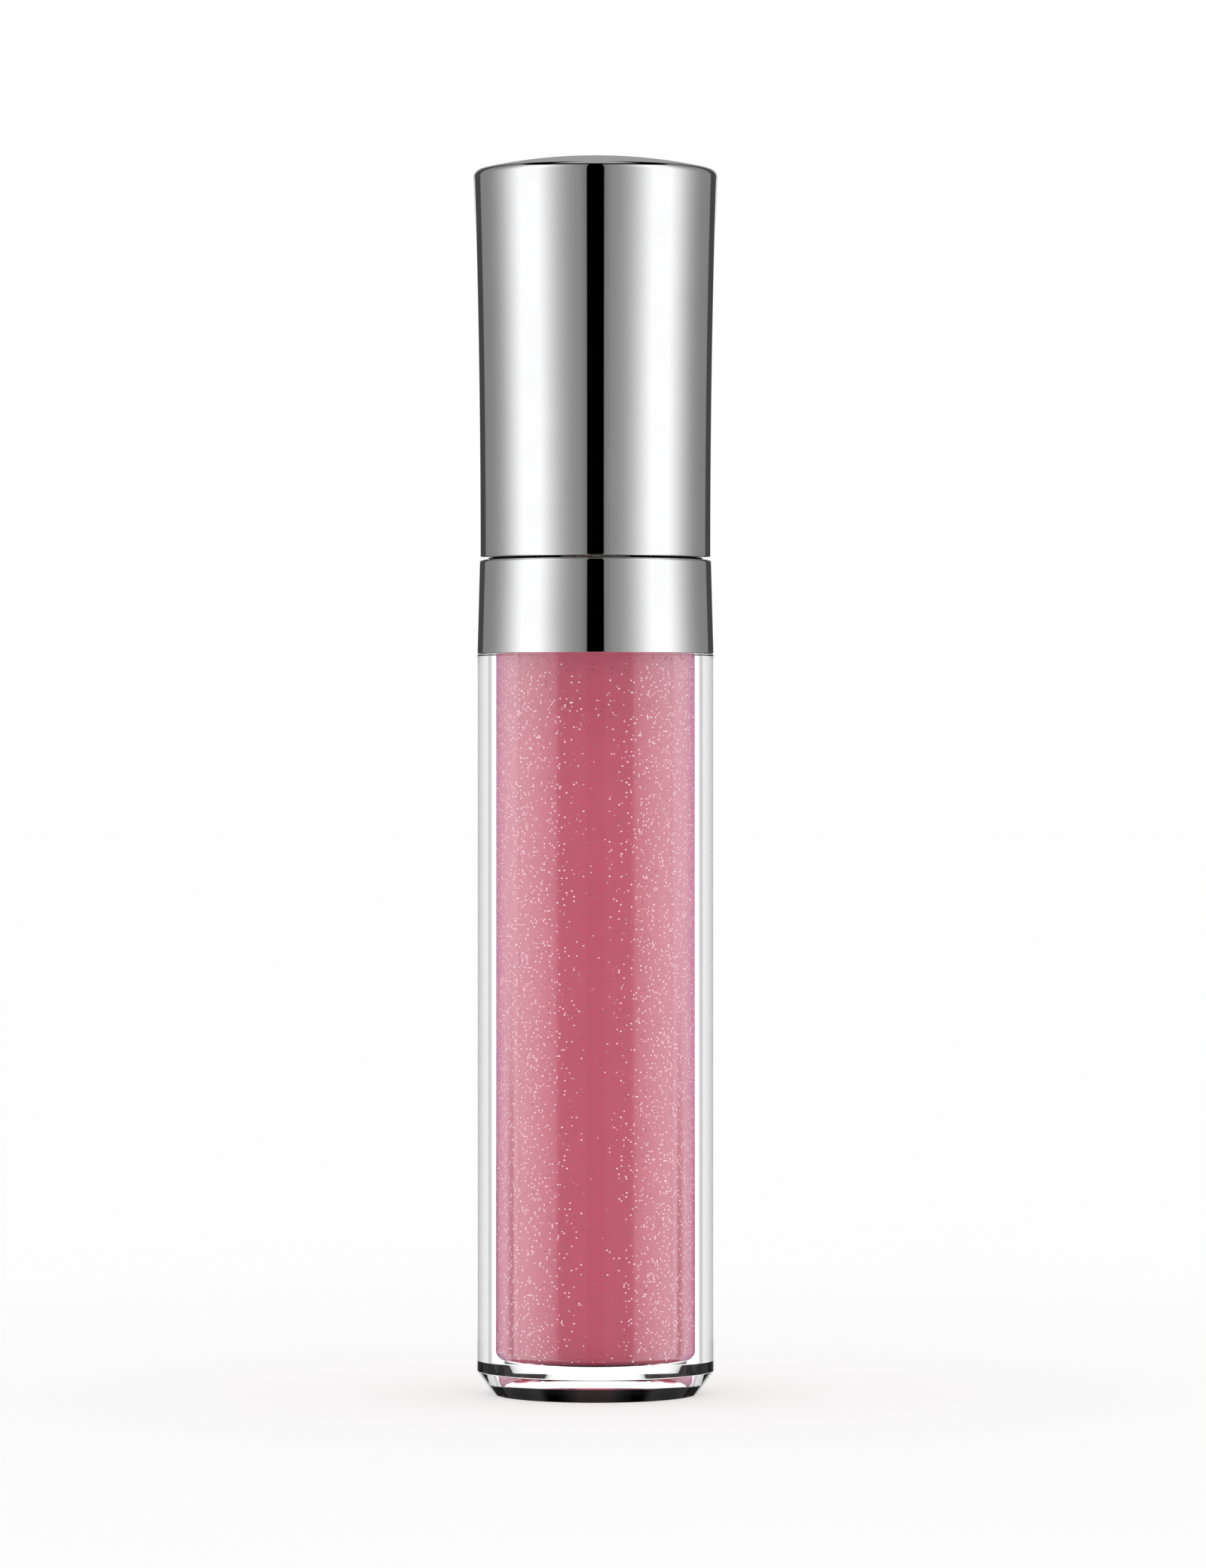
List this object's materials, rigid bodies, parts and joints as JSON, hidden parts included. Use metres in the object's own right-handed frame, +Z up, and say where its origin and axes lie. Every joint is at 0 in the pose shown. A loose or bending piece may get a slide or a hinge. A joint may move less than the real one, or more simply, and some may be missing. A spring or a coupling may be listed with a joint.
{
  "type": "lip gloss tube",
  "caption": "Round clear tube of shimmering lip gloss with a bright screw cap; the cap carries a stem and a flocked applicator that pass a wiper in the neck.",
  "frame": {"origin": "centre of the flat ring that the tube stands on", "axes": "+Z is up along the tube's axis, from the foot to the cap's dome; +X and +Y are level, and the applicator's broad face looks along -Y with the cap closed"},
  "size_m": [0.0194, 0.0194, 0.0988],
  "materials": {
    "clear_wall": "polished clear injection-moulded plastic, thick walled",
    "gloss_fill": "shimmering deep rose gel with fine pearl flakes",
    "wiper_plastic": "soft natural polyethylene",
    "bright_metal": "mirror-bright vacuum-metallised shell",
    "black_label": "bare black film label, no print",
    "liner_plastic": "white moulded polypropylene",
    "seal_rubber": "soft pale sealing foam",
    "stem_plastic": "translucent frosted polypropylene",
    "core_plastic": "soft elastomer, wet with gloss",
    "flocking": "short flocked fibres, wet with rose gloss"
  },
  "bodies": {
    "tube": {"bottle": "clear_wall", "gloss": "gloss_fill", "wiper": "wiper_plastic", "collar": "bright_metal", "base_label": "black_label"},
    "seal": {"gasket": "seal_rubber"},
    "rod": {"stem": "stem_plastic"},
    "closure": {"cap_shell": "bright_metal", "inner_cap": "liner_plastic", "applicator_core": "core_plastic", "applicator_flock": "flocking"}
  },
  "joints": [
    {"name": "wand_pull", "type": "slide", "parent": "tube", "child": "seal", "axis": [0, 0, 1], "range_m": [0, 0.082], "deforming": ["wiper", "gloss"]},
    {"name": "thread_rise", "type": "slide", "parent": "seal", "child": "rod", "axis": [0, 0, 1], "range_m": [0, 0.00313]},
    {"name": "cap_turn", "type": "hinge", "parent": "rod", "child": "closure", "pos_m": [0, 0, 0.0668], "axis": [0, 0, 1], "range_deg": [0, 449.9]}
  ],
  "couplings": [
    {"joint": "thread_rise", "follows": "cap_turn", "m_per_rad": 0.00039789}
  ]
}
